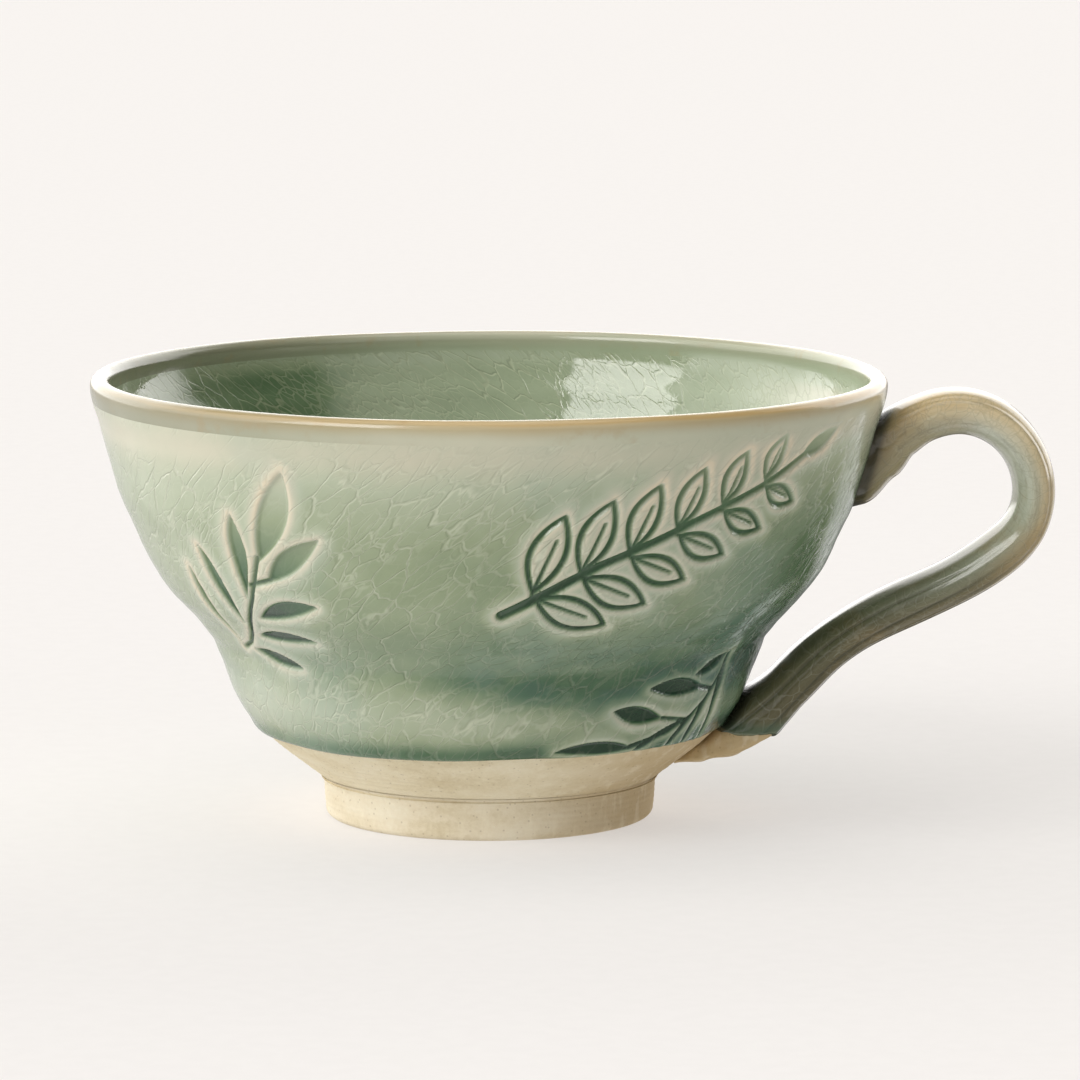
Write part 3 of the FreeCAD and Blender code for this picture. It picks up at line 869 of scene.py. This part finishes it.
def handle_glaze():
    n = Nodes("handle_glaze")
    place = n.position()
    streak = n.attribute("streak", vector=True)
    share = n.attribute("share")
    long = n.noise(n.stretch(streak, 22.0, 9.0, 1.0), 1.0, 4.0, 0.6, 0.4).outputs["Fac"]
    thin = n.noise(n.stretch(streak, 110.0, 60.0, 1.0), 1.0, 3.0, 0.65, 0.3).outputs["Fac"]
    cloud = n.noise(place, 75.0, 4.0, 0.6).outputs["Fac"]
    mixed = n.plus(n.times(long, 0.6), n.times(thin, 0.4))
    place_on = n.plus(share, n.times(n.minus(cloud, 0.5), 0.10))
    near = n.ramp(place_on, [
        (0.00, linear(150, 128, 88)),
        (0.15, linear(190, 168, 124)),
        (0.28, linear(214, 198, 160)),
        (0.42, linear(182, 164, 124)),
        (0.52, linear(116, 108, 78)),
        (0.70, linear(98, 92, 63)),
        (0.84, linear(98, 92, 63)),
        (0.94, linear(116, 106, 70)),
    ], "LINEAR")
    away = n.ramp(place_on, [
        (0.00, linear(146, 134, 98)),
        (0.14, linear(172, 164, 134)),
        (0.25, linear(196, 200, 184)),
        (0.40, linear(176, 182, 162)),
        (0.53, linear(138, 144, 120)),
        (0.70, linear(112, 113, 86)),
        (0.85, linear(112, 110, 80)),
        (0.95, linear(120, 118, 84)),
    ], "LINEAR")
    body = n.mix(n.attribute("inner"), away, near)
    colour = n.mix(n.remap(mixed, 0.36, 0.52, 0.26, 0.0), body, linear(84, 80, 52))
    colour = n.mix(n.remap(mixed, 0.54, 0.70, 0.0, 0.22), colour, linear(186, 192, 174))
    colour = n.mix(n.remap(cloud, 0.54, 0.72, 0.0, 0.30), colour, linear(172, 146, 98))
    crack, pale = crackle(n, 3.4)
    colour = n.mix(n.times(pale, 0.16), colour, linear(206, 206, 184))
    colour = n.mix(n.times(crack, 0.22), colour, linear(70, 66, 42))
    colour = n.mix(n.times(n.attribute("cut"), 0.80), colour, linear(56, 58, 38))
    colour = n.mix(n.times(n.attribute("edge"), 0.14), colour, linear(192, 168, 118))
    colour = n.mix(n.times(n.attribute("pool_and_painted_light"), 2.6, clamp=True), colour, linear(74, 104, 82))
    # painted shade: near-black where the handle meets the bowl
    colour = n.mix(n.times(n.attribute("join_pool_and_shade"), 0.85), colour, linear(30, 34, 24))
    height = n.plus(n.times(mixed, 0.5), n.times(n.noise(place, 300.0, 2.0).outputs["Fac"], 0.15))
    return n.shader(colour, n.remap(cloud, 0.3, 0.7, 0.08, 0.16), n.bump(height, 0.00012, 0.45), IOR=1.66)


def floor_material():
    n = Nodes("studio_floor")
    grain = n.noise(n.position(), 300.0, 2.0).outputs["Fac"]
    colour = n.mix(n.remap(grain, 0.3, 0.7), linear(167, 165, 163), linear(169, 167, 165))
    return n.shader(colour, 1.0, Emission_Color=BACKDROP, Emission_Strength=0.54, Specular_IOR_Level=0.0)


# =====================================================================
# studio
# =====================================================================
# Panels of light: right-hand angle from the front (low, high), height (low, high), softness, brightness.
STUDIO_PANELS = [
    (-66.0, -28.0, 20.0, 52.0, 1.2, 5.2),
    (-28.0, 56.0, 12.0, 58.0, 4.0, 0.55),
    (-112.0, -66.0, 2.0, 60.0, 5.0, 1.8),
    (-190.0, 190.0, 66.0, 95.0, 6.0, 1.2),
]
CAMERA_PLACE = (0.0, -1.0, 0.1862)     # metres
CAMERA_DOWN = 0.1418                   # radians below level
CAMERA_ROLL = -0.0080
LENS = 213.8
SENSOR = 36.0
CAMERA_REACH = 30.0


def surroundings():
    """World light: the panels above, white walls behind, and below the horizon the levels that the glaze reflects.

    The camera sees the plain backdrop colour in place of the light.
    """
    world = bpy.data.worlds.new("studio")
    bpy.context.scene.world = world
    n = Nodes.of_tree(world)
    direction = n.add("ShaderNodeTexCoord").outputs["Generated"]
    split = n.add("ShaderNodeSeparateXYZ")
    n.link(direction, split.inputs[0])
    x, y, z = split.outputs
    right = n.math("DEGREES", n.math("ARCTAN2", x, n.times(y, -1.0)))
    up = n.math("DEGREES", n.math("ARCSINE", z))

    def between(value, low, high, soft):
        return n.times(n.remap(value, low - soft, low + soft), n.remap(value, high - soft, high + soft, 1.0, 0.0))

    def panel(a0, a1, e0, e1, soft, level):
        return n.times(n.times(between(right, a0, a1, soft), between(up, e0, e1, soft)), level)

    behind = n.times(n.remap(n.math("ABSOLUTE", right), 108.0, 118.0), n.remap(up, 50.0, 30.0))
    total = n.plus(n.times(behind, 2.5), 0.05)
    for box in STUDIO_PANELS:
        total = n.plus(total, panel(*box))
    table = n.remap(up, 1.0, -3.0)
    shade = n.times(n.remap(n.plus(right, n.times(up, 0.43)), 119.0, 121.5),
                   n.remap(up, -18.5, -21.0))
    strip = panel(143.0, 164.0, -34.0, 10.0, 1.2, 2.1)
    edge = n.times(n.remap(right, 163.0, 168.0), n.remap(up, -26.0, -22.0))
    under = n.minus(n.plus(0.74, strip), n.times(shade, 0.66))
    under = n.minus(under, n.times(edge, 0.50))
    under = n.plus(under, panel(-136.0, -84.0, -60.0, 0.0, 8.0, 0.9))
    under = n.minus(under, panel(66.0, 134.0, -60.0, 0.0, 5.0, 0.45))
    under = n.minus(under, panel(-50.0, 66.0, -60.0, 0.0, 5.0, 0.40), clamp=True)
    level = n.plus(n.times(total, n.minus(1.0, table)), n.times(under, table))
    light = n.add("ShaderNodeBackground")
    light.inputs["Color"].default_value = (1.0, 0.985, 0.965, 1.0)
    n.link(level, light.inputs["Strength"])
    plain = n.add("ShaderNodeBackground")
    plain.inputs["Color"].default_value = BACKDROP
    both = n.add("ShaderNodeMixShader")
    n.link(n.add("ShaderNodeLightPath").outputs["Is Camera Ray"], both.inputs[0])
    n.link(light.outputs[0], both.inputs[1])
    n.link(plain.outputs[0], both.inputs[2])
    n.link(both.outputs[0], n.out.inputs["Surface"])


def studio():
    scene = bpy.context.scene
    scene.view_settings.view_transform = "Standard"
    surroundings()
    mesh = bpy.data.meshes.new("studio_floor")
    mesh.from_pydata([(-6, -6, 0), (6, -6, 0), (6, 9, 0), (-6, 9, 0)], [], [(0, 1, 2, 3)])
    floor = bpy.data.objects.new("studio_floor", mesh)
    floor.visible_glossy = False
    scene.collection.objects.link(floor)
    mesh.materials.append(floor_material())

    camera = bpy.data.cameras.new("camera")
    camera.sensor_width = SENSOR
    camera.lens = LENS
    camera.clip_end = CAMERA_REACH
    eye = bpy.data.objects.new("camera", camera)
    eye.location = CAMERA_PLACE
    eye.rotation_euler = Euler((math.pi / 2 - CAMERA_DOWN, 0.0, CAMERA_ROLL), "XYZ")
    scene.collection.objects.link(eye)
    scene.camera = eye


mats = {
    "celadon": celadon(),
    "rim": rim(),
    "inner": inner(),
    "clay": clay("bare_clay", linear(238, 230, 206), linear(228, 217, 187), linear(208, 193, 157)),
    "foot": clay("foot_clay", linear(236, 229, 208), linear(226, 215, 189), linear(206, 192, 158)),
    "handle": handle_glaze(),
}
build_bowl(mats)
build_clay(mats)
build_handle(mats)
studio()
